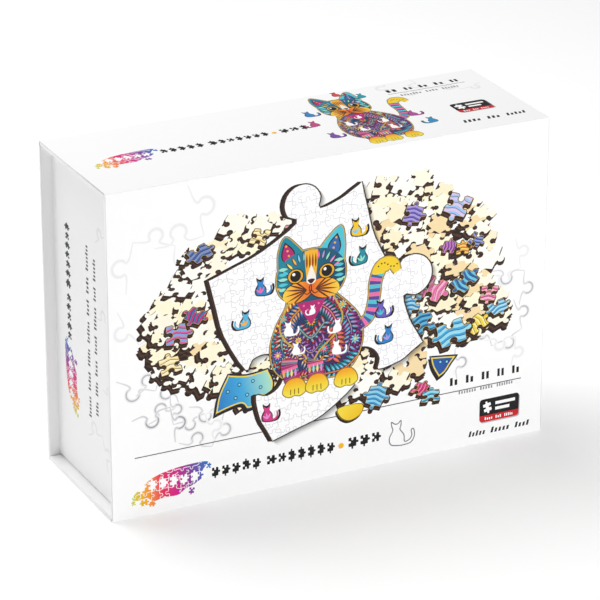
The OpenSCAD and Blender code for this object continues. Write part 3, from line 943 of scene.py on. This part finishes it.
topFigures = [  # (x, y, size, colour, facing)
    (129, 51, 7, "#2C83C6", 1), (125, 38, 7, "#C24A86", -1), (127, 20, 7, "#7B4FA8", 1),
    (153, 71, 6, "#D5484A", 1), (163, 64, 6, "#1F9AA8", -1), (174, 31, 7, "#B04A9A", 1),
    (178, 19, 7, "#2E8FC0", -1),
]


def topInks(rng):
    art = []
    for at, size, turn in (((205, 70), 17, 10), ((188, 70), 16, -8), ((216, 62), 13, 20)):
        drawPencilSides(art, unitSquare, (0, 3), (1, 1), at, size, turn, 1)
    drawTitle(art, 12.5, 37, 3.45, rng)
    transfer(art, catInks(), (148.5, 5.5), (0.67, 0.8))
    for x, y, size, paint, flip in topFigures:
        drawFigure(art, (x, y), size, ink["edge"], flip)
        drawFigure(art, (x + 0.1, y + 0.3), size * 0.88, paint, flip)
    drawDashes(art, 177, 64.5, 40, 3.6, 5, ink["black"], rng)
    lay(art, bar(176, 62, 42, 0.4), "#55555A")
    drawDashes(art, 181, 57.5, 32, 2.4, 3, "#8F8F93", rng)
    drawLabel(art, 195, 24, 19, 12.5, rng)
    drawDashes(art, 190, 11, 34, 3.4, 3, "#2A2A2C", rng, 0.25)
    return art


def sideInks(rng):
    # the wall's sheet: x from the back to the rim, y up; the words read upwards
    row = []
    drawTitle(row, 0, 0, 3.7, rng, True)
    art = []
    transfer(art, row, (19, 32), 1.0, 90)
    for x, y0, length in ((40, 36, 88), (48.5, 40, 80)):
        line = []
        drawDashes(line, 0, 0, length, 2.9, 7, "#3A3A3E", rng)
        transfer(art, line, (x + 1, y0), 1.0, 90)
    for at, size, turn in (((48, 20), 18, 20), ((60, 48), 14, -15), ((59, 84), 15, 8), ((60, 126), 14, 30)):
        drawPencilSides(art, unitSquare, (1, 2), (1, 1), at, size, turn, 1)
    return art


backLines = [(94, 8), (100, 9), (88, 7), (97, 8), (60, 5), (92, 8), (70, 6)]  # (width, words)


def backInks(rng):
    art = []
    picture = []
    drawPuzzlePicture(picture, rng, 8)
    transfer(art, picture, (-20, 38), 0.62)
    drawTitle(art, 13, 13.3, 4.05, rng)
    lay(art, bar(*ruleLine, 0.45), "#55555A")
    for k, (width, words) in enumerate(backLines):
        drawDashes(art, 118, 116 - 7.5 * k, width, 2.4, words, "#4A4A4E", rng)
    for k in range(4):
        shape = moved(pieceOutline([1, -1, 1, -1]), (126 + 24 * k, 136), 11, 8 * k)
        lay(art, shape, ink["bright"][k])
        lay(art, ribbon(shape, 0.5, True), ink["edge"])
    drawSideBlock(art, 177, 6.2, 0.8, rng)
    return art


def leafletInks(rng):
    # the guide picture on the folded sheet, 210 by 148.5 mm
    art = []
    lay(art, bar(4, 4, 202, 140.5), "#F2F6F8")
    picture = []
    drawPuzzlePicture(picture, rng, 6)
    transfer(art, picture, (1, -10), 0.98)
    return art


print("print drawn up")


# Materials of the object, each from what its maker calls it
wrapPrint = laminatedPrint("laminatedArtPaper")
sheetPrint = laminatedPrint("silkCoatedPaper", 0.34)
linerPaper = plainPaper("uncoatedLinerPaper", "#F1F1EE", "#DAD8D0", 0.35, 0.25, 0.02)
greyBoard = plainPaper("greyChipboard", "#8C877C", "#5F5A50", 0.6, 0.7, 0.08, 0.92)
kraftTape = plainPaper("gummedKraftTape", "#B48A5C", "#8E6538", 0.5, 0.4, 0.03, 0.7)


def waveScale(pitch):
    # at scale 1 a wave texture's bands are 2 pi / 20 apart, so here they are 2 pi pitch mm apart
    return 1 / (pitch * mm) / 20


# Plated metal: nickel on the magnets and zinc on the steel plates. Faint rings from turning or
# rolling, about a millimetre and a half apart, break up the reflection.
def platedMetal(name, tone, roughness):
    material, tree, shader = newMaterial(name)
    place = addNode(tree, "ShaderNodeTexCoord"), "Object"
    worn = mixColours(tree, (noise(tree, place, 2), "Fac"), rgba(tone), (*linear(tone) * 0.82, 1))
    rings = addNode(tree, "ShaderNodeTexWave", {"wave_type": "BANDS", "bands_direction": "X"}, {
        "Vector": place, "Scale": waveScale(0.25), "Distortion": 1.5})
    dress(tree, shader, (worn, 2), relief(tree, rings, 0.2, 0.01), {"Metallic": 1, "Roughness": roughness})
    return material


# Laser-cut basswood ply: its cut sides are burnt brown with dark veneer lines, the back is bare
# pale wood with a fine grain, and the top carries the print, cream on most pieces and bright on some.
woodKit = {
    "cell": (35.8, 34.7, 4.15),       # a piece's width and depth, and the pitch of the layers
    "corner": (-107.4, -35.6, 4.55),  # of the first piece in the lowest layer
    "ply": 1.3,                       # the veneers are 2 pi times this apart
    "first": ["#FBF3DC", "#F7E7C0", "#2C83C6", "#1C8B9C", "#FCF5E4", "#D53A84", "#F4C71E"],
    "second": ["#FDF8EA", "#F2DDB0", "#9CC7EA", "#F4C71E", "#F9ECD0", "#F7B13C", "#D5484A"],
}


def cutWood(name, kit):
    material, tree, shader = newMaterial(name)
    textureAxes = addNode(tree, "ShaderNodeTexCoord")
    place = textureAxes, "Object"
    axes = addNode(tree, "ShaderNodeSeparateXYZ", links={"Vector": (textureAxes, "Normal")})
    start = addNode(tree, "ShaderNodeVectorMath", {"operation": "SUBTRACT"}, {
        0: place, 1: [side * mm for side in kit["corner"]]})
    cell = addNode(tree, "ShaderNodeVectorMath", {"operation": "DIVIDE"}, {
        0: (start, "Vector"), 1: [side * mm for side in kit["cell"]]})
    whole = addNode(tree, "ShaderNodeVectorMath", {"operation": "FLOOR"}, {0: (cell, "Vector")})
    toss = addNode(tree, "ShaderNodeTexWhiteNoise", {"noise_dimensions": "3D"}, {"Vector": (whole, "Vector")})
    first = addNode(tree, "ShaderNodeValToRGB", links={"Fac": (toss, "Value")})
    second = addNode(tree, "ShaderNodeValToRGB", links={"Fac": (toss, "Value")})
    for ramp, tones in ((first, kit["first"]), (second, kit["second"])):
        ramp.color_ramp.interpolation = "CONSTANT"
        spots = ramp.color_ramp.elements
        while len(spots) < len(tones):
            spots.new(0.5)
        for k, tone in enumerate(tones):
            spots[k].position = k / len(tones)
            spots[k].color = rgba(tone)
    stripes = addNode(tree, "ShaderNodeTexWave", {"wave_type": "RINGS", "rings_direction": "Z"}, {
        "Vector": place, "Scale": waveScale(4.5), "Distortion": 2.5, "Detail Scale": 1.5})
    sharp = addNode(tree, "ShaderNodeMapRange", links={
        "Value": (stripes, "Fac"), "From Min": 0.45, "From Max": 0.55})
    face = mixColours(tree, (sharp, "Result"), (first, "Color"), (second, "Color"))
    grainStretch = addNode(tree, "ShaderNodeMapping", links={"Vector": place, "Scale": (1, 14, 14)})
    grain = noise(tree, (grainStretch, "Vector"), 9, 5.0, 0.65)
    bare = mixColours(tree, (grain, "Fac"), rgba("#DDBE8C"), rgba("#B98F59"))
    veneer = addNode(tree, "ShaderNodeTexWave", {"bands_direction": "Z"}, {
        "Vector": place, "Scale": waveScale(kit["ply"])})
    burnt = mixColours(tree, (veneer, "Fac"), rgba("#2A1710"), rgba("#5A3622"))
    isSide = addNode(tree, "ShaderNodeMath", {"operation": "LESS_THAN"}, {0: (axes, "Z"), 1: 0.5})
    isBack = addNode(tree, "ShaderNodeMath", {"operation": "LESS_THAN"}, {0: (axes, "Z"), 1: -0.5})
    sided = mixColours(tree, (isSide, "Value"), (face, 2), (burnt, 2))
    backed = mixColours(tree, (isBack, "Value"), (sided, 2), (bare, 2))
    dress(tree, shader, (backed, 2), relief(tree, grain, 0.25, 0.05), {"Roughness": 0.62})
    return material


nickel = platedMetal("nickelPlating", "#C9C8C4", 0.22)
zinc = platedMetal("zincPlating", "#AEB4BA", 0.34)
basswood = cutWood("laserCutBasswood", woodKit)
finishes = {  # by a word in the node's name; the first that fits is taken
    "board": greyBoard, "wall": greyBoard, "liner": linerPaper, "tapes": kraftTape, "magnets": nickel,
    "keepers": zinc, "layer": basswood, "wrap": wrapPrint, "fold": wrapPrint, "sheet": sheetPrint,
    "pieces": basswood,
}
for name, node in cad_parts.items():
    word = next(w for w in finishes if w in name)
    node.data.materials.clear()
    node.data.materials.append(finishes[word])
print("CAD nodes have their finishes")


def outwardMesh(name, parts, material):
    # parts are (points in mm, faces, a colour for each face corner or None, smooth or flat);
    # their seams are welded, so that the shell is closed
    points, faces, colours, smooth = [], [], [], []
    paper = np.append(linear(ink["paper"]), 1)
    first = 0
    for spots, polygons, tints, soft in parts:
        spots = np.asarray(spots, float).reshape(-1, 3)
        points.append(spots * mm)
        faces += [[first + int(k) for k in face] for face in polygons]
        corners = sum(len(face) for face in polygons)
        if tints is None:
            tints = np.tile(paper, (corners, 1))
        colours.append(np.asarray(tints).reshape(corners, -1))
        smooth += [soft] * len(polygons)
        first += len(spots)
    mesh = bpy.data.meshes.new(name)
    mesh.from_pydata(np.vstack(points), [], faces)
    mesh.polygons.foreach_set("use_smooth", smooth)
    tint = mesh.color_attributes.new("print", "FLOAT_COLOR", "CORNER")
    flat = np.vstack([c if c.shape[1] == 4 else np.column_stack([c, np.ones(len(c))]) for c in colours])
    tint.data.foreach_set("color", flat.astype(np.float32).ravel())
    work = bmesh.new()
    work.from_mesh(mesh)
    bmesh.ops.remove_doubles(work, verts=work.verts, dist=0.001 * mm)
    work.to_mesh(mesh)
    work.free()
    mesh.materials.append(material)
    piece = bpy.data.objects.new(name, mesh)
    bpy.context.scene.collection.objects.link(piece)
    return piece


def bridge(rings, closed=False, leaveOut=()):
    # rings is (ring, point round it, xyz): a quad from each ring to the next, round the ring.
    # leaveOut holds (ring, point) of quads that a printed patch stands for.
    count, around = rings.shape[:2]
    steps = count if closed else count - 1
    quads = []
    for i in range(steps):
        a, b = i * around, (i + 1) % count * around
        for k in range(around):
            after = (k + 1) % around
            if (i, k) not in leaveOut:
                quads.append((a + k, a + after, b + after, b + k))
    return rings.reshape(-1, 3), quads


def stripCaps(count):
    # The quads that close both ends of a strip bridged from two rings of count points, each ring
    # out along one side of the strip and back along the other.
    caps = []
    for ring in (0, 1):
        for k in range(count // 2 - 1):
            a, b = ring * count + k, ring * count + count - 2 - k
            caps.append([a, a + 1, b, b + 1][::1 if ring else -1])
    return caps


def printedPatch(corners, face, sheet):
    # corners are on the plane of the face: origin, and unit vectors along its sheet's x and y
    origin, right, up = [np.array(v, float) for v in face]
    flat = np.column_stack([(corners - origin) @ right, (corners - origin) @ up])
    place, triangles, colours = printed(sheet, flat, ink["paper"])
    spots = origin + place[:, :1] * right + place[:, 1:] * up
    return spots, triangles.tolist(), colours.reshape(-1, 3), False


cover = {
    "panel": 2.0,     # board with its two papers
    "paper": 0.25,
    "turnIn": 14.0,
    "edge": 0.45,     # radius of the paper round the board's edge
    "hingeGap": 0.5,  # from a hinged corner to the panel
    "lining": 0.15,   # the paper on a mitred end
}


def arc(radius, steps=4):
    # a quarter turn: (how far in, how deep) from the rim of the outer face to the edge
    t = np.linspace(0, math.pi / 2, steps + 1)
    return np.column_stack([radius * (1 - np.sin(t)), radius * (1 - np.cos(t))])


def panelShell(name, kit, length, mitres, toWorld, face, sheet):
    # Rings round the panel: out from the printed face, over the edge, to the turned-in paper,
    # then back along the board to the inside of the face. A mitred end slopes at 45 degrees.
    paper, deep = kit["paper"], kit["panel"]
    outer = arc(kit["edge"])
    profile = [(i, n, 0) for i, n in outer] + [(i, deep - n, 0) for i, n in outer[::-1]]
    profile += [(kit["turnIn"], deep, kit["lining"]), (kit["turnIn"], deep - paper, kit["lining"] * 1.5),
                (paper, deep - paper, kit["lining"]), (paper, paper, kit["lining"])]
    rings = []
    for inset, n, inside in profile:
        x = coverW / 2 - inset
        s = [n + kit["hingeGap"] + inside if m else inset for m in mitres]
        rings.append([(-x, s[0], n), (x, s[0], n), (x, length - s[1], n), (-x, length - s[1], n)])
    rings = toWorld(np.array(rings))
    spots, quads = bridge(rings)
    last = len(profile) - 1
    quads.append([last * 4 + k for k in range(4)])
    softRim = len(outer) - 1
    soft = [(k // 4) < softRim or softRim < (k // 4) <= 2 * softRim for k in range(len(quads))]
    parts = [printedPatch(rings[0], face, sheet)]
    for wanted in (True, False):
        parts.append((spots, [q for q, s in zip(quads, soft) if s == wanted], None, wanted))
    return outwardMesh(name, parts, wrapPrint)


front, back, foot, top = -coverD / 2, coverD / 2, 0.0, coverH
lie = {
    # (x, along the wrap, depth) to the frame
    "lid": lambda p: np.stack([p[..., 0], front + p[..., 2], top - p[..., 1]], -1),
    "spine": lambda p: np.stack([p[..., 0], back - p[..., 1], top - p[..., 2]], -1),
    "back": lambda p: np.stack([p[..., 0], back - p[..., 2], p[..., 1]], -1),
    "flap": lambda p: np.stack([p[..., 0], front + p[..., 1], p[..., 2]], -1),
}
left, right = -coverW / 2, coverW / 2
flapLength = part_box("flap_wrap")[1].y / mm - front
seeds = {"front": 7, "top": 19, "side": 23, "back": 31, "leaflet": 43}
draw = {name: np.random.default_rng(seed) for name, seed in seeds.items()}
panels = [
    # name, node, body, length, mitred ends, then its sheet's origin and axes, and inks
    ("lidCover", "lid_wrap", "lid", coverH, (1, 1),
     ((left, front, foot), (1, 0, 0), (0, 0, 1)), frontInks(draw["front"])),
    ("spineCover", "spine_wrap", "root", coverD, (1, 1),
     ((left, front, top), (1, 0, 0), (0, 1, 0)), topInks(draw["top"])),
    ("backCover", "back_wrap", "root", coverH, (0, 1),
     ((right, back, foot), (-1, 0, 0), (0, 0, 1)), backInks(draw["back"])),
    ("flapCover", "flap_wrap", "flap", flapLength, (1, 0),
     ((left, back, foot), (1, 0, 0), (0, -1, 0)), []),
]
for name, node, body, length, mitres, face, sheet in panels:
    piece = panelShell(name, cover, length, mitres, lie[node[:-5]], face, sheet)
    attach(piece, body)
    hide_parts(node)
    print(name, len(piece.data.polygons), "faces")


hinge = {
    "reach": 0.9,    # how far the strip runs under the paper on each side of the corner
    "under": 0.02,   # its depth under the outer faces
    "thick": 0.12,
    "radius": 0.35,  # its bend round the corner
    "steps": 10,
    "short": 0.02,   # how far it stops short of the cover's ends
}


def hingeStrip(name, kit, corner, ways):
    # An angle of paper along X: straight, a quarter turn, straight, as outer and inner lines.
    # ways are the unit vectors from the corner along the two faces, in (y, z).
    a, b = [np.array(w, float) for w in ways]
    lines = []
    for depth in (kit["under"], kit["under"] + kit["thick"]):
        r = kit["radius"] - depth
        centre = np.array(corner) + (a + b) * (depth + r)
        t = np.linspace(0, math.pi / 2, kit["steps"] + 1)[:, None]
        bend = centre - r * (np.cos(t) * b + np.sin(t) * a)
        ends = [np.array(corner) + along * kit["reach"] + down * depth for along, down in ((a, b), (b, a))]
        lines.append(np.vstack([ends[0], bend, ends[1]]))
    section = np.vstack([lines[0], lines[1][::-1]])
    half = coverW / 2 - kit["short"]
    rings = np.stack([np.column_stack([np.full(len(section), x), section]) for x in (-half, half)])
    spots, quads = bridge(rings)
    quads += stripCaps(len(section))
    piece = outwardMesh(name, [(spots, quads, None, False)], wrapPrint)
    work = bmesh.new()
    work.from_mesh(piece.data)
    bmesh.ops.recalc_face_normals(work, faces=work.faces)
    work.to_mesh(piece.data)
    work.free()
    return piece


lidStrip = hingeStrip("lidHingePaper", hinge, (front, top), ((1, 0), (0, -1)))
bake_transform(lidStrip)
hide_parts("lid_fold")
flapStrip = hingeStrip("flapHingePaper", hinge, (front, foot), ((1, 0), (0, 1)))
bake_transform(flapStrip)
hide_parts("flap_fold")
print("hinges papered")


trayLow, trayHigh = [np.array(c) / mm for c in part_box("tray_wrap")]
tray = {
    "wall": 2.1,
    "paper": 0.25,
    "round": 0.7,    # radius of the upright corners
    "rim": 0.5,      # radius of the paper over the rim
    "floor": float(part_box("tray_floor_liner")[0].y) / mm,
    "sharp": 0.1,    # the least radius, at the inner corners
    "steps": 4,
}


def trayShell(name, kit, sheet):
    # Rings round the tray's outline, from the back up the outside, over the rim and down inside.
    # Each ring is a rectangle with round corners, inset by its place in the wall.
    rim, wall, paper, y0, y1 = kit["rim"], kit["wall"], kit["paper"], trayLow[1], trayHigh[1]
    t = np.linspace(0, math.pi / 2, 5)
    over = [(rim * (1 - math.cos(a)), y0 + rim * (1 - math.sin(a))) for a in t]
    inner = [(wall - i, y) for i, y in over[::-1]]
    profile = [(0, y1)] + over + inner + [(wall, kit["floor"]), (wall - paper, kit["floor"]),
                                          (wall - paper, y0 + paper), (paper, y0 + paper), (paper, y1)]
    angles = np.linspace(0, math.pi / 2, kit["steps"] + 1)
    rings = []
    for inset, y in profile:
        r = max(kit["round"] - inset, kit["sharp"])
        spots = []
        for turn, (sx, sz) in enumerate(((-1, -1), (1, -1), (1, 1), (-1, 1))):
            cx = sx * (trayHigh[0] - inset - r)
            cz = (trayLow[2] + inset + r) if sz < 0 else (trayHigh[2] - inset - r)
            sweep = math.pi + turn * math.pi / 2 + angles
            line = [cx + r * np.cos(sweep), np.full(len(sweep), y), cz + r * np.sin(sweep)]
            spots.append(np.column_stack(line))
        rings.append(np.vstack(spots))
    rings = np.array(rings)
    n = kit["steps"] + 1
    # the walls' flat sides: the right one joins corner 1 to corner 2, the left one 3 to 0
    rightQuad, leftQuad = (0, 2 * n - 1), (0, 4 * n - 1)
    spots, quads = bridge(rings, True, (rightQuad, leftQuad))
    rightCorners = np.array([rings[1, 2 * n - 1], rings[0, 2 * n - 1], rings[0, 2 * n], rings[1, 2 * n]])
    leftCorners = np.array([rings[0, 0], rings[1, 0], rings[1, 4 * n - 1], rings[0, 4 * n - 1]])
    parts = [printedPatch(leftCorners, ((trayLow[0], trayHigh[1], trayLow[2]), (0, -1, 0), (0, 0, 1)), sheet),
             printedPatch(rightCorners, ((trayHigh[0], trayLow[1], trayLow[2]), (0, 1, 0), (0, 0, 1)), sheet),
             (spots, quads, None, False)]
    return outwardMesh(name, parts, wrapPrint)


trayPaper = trayShell("trayPaper", tray, sideInks(draw["side"]))
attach(trayPaper, "root")
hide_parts("tray_wrap")
print("tray papered,", len(trayPaper.data.polygons), "faces")


leafLow, leafHigh = [np.array(c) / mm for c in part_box("picture_sheet")]
leaf = {"thick": 0.2, "gap": 0.4, "steps": 8}


def foldedSheet(name, kit, sheet):
    # A section in (y, z): up the back leaf, over its free edge, down inside, round the fold and
    # up the front leaf; the front leaf's outer face is the printed patch.
    outerR = kit["gap"] / 2 + kit["thick"]
    middle = (leafLow[1] + leafHigh[1]) / 2
    foldZ = leafLow[2] + outerR
    t = np.linspace(0, math.pi, kit["steps"] + 1)
    outer, inner = [np.column_stack([middle + way * r * np.cos(t), foldZ - r * np.sin(t)])
                    for way, r in ((-1, outerR), (1, kit["gap"] / 2))]
    rim = leafHigh[2]
    section = np.vstack([run for bend in (outer, inner)
                         for run in ((bend[0, 0], rim), bend, (bend[-1, 0], rim))])
    low, high = leafLow[0], leafHigh[0]
    rings = np.stack([np.column_stack([np.full(len(section), x), section]) for x in (low, high)])
    spots, quads = bridge(rings, False, ((0, 0),))
    y = outer[0, 0]
    corners = np.array([(low, y, outer[0, 1]), (high, y, outer[0, 1]), (high, y, rim), (low, y, rim)])
    parts = [printedPatch(corners, ((low, y, leafLow[2]), (1, 0, 0), (0, 0, 1)), sheet),
             (spots, quads + stripCaps(len(section)), None, False)]
    return outwardMesh(name, parts, sheetPrint)


pictureSheet = foldedSheet("foldedPictureSheet", leaf, leafletInks(draw["leaflet"]))
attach(pictureSheet, "root")
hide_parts("picture_sheet")
print("picture sheet folded")


ground = {"half": 4.0, "drop": 0.0002, "glow": 0.24}  # in metres, and the strength of its own light


def paleFloor(kit):
    # a wide flat ground just under the box; its faint glow keeps it near white behind the box
    mesh = bpy.data.meshes.new("paleFloor")
    half, z = kit["half"], -kit["drop"]
    corners = [(-half, -half, z), (half, -half, z), (half, half, z), (-half, half, z)]
    mesh.from_pydata(corners, [], [(0, 1, 2, 3)])
    floor = bpy.data.objects.new("paleFloor", mesh)
    bpy.context.scene.collection.objects.link(floor)
    material, tree, shader = newMaterial("mattWhiteFloor")
    place = addNode(tree, "ShaderNodeTexCoord")
    cloud = addNode(tree, "ShaderNodeTexNoise", links={"Vector": (place, "Object"), "Scale": 3.0})
    tone = mixColours(tree, (cloud, "Fac"), rgba("#F4F4F4"), rgba("#F1F1F1"))
    tree.links.new(tone.outputs[2], shader.inputs["Base Color"])
    shader.inputs["Roughness"].default_value = 0.9
    shader.inputs["Emission Color"].default_value = (1, 1, 1, 1)
    shader.inputs["Emission Strength"].default_value = kit["glow"]
    mesh.materials.append(material)


paleFloor(ground)
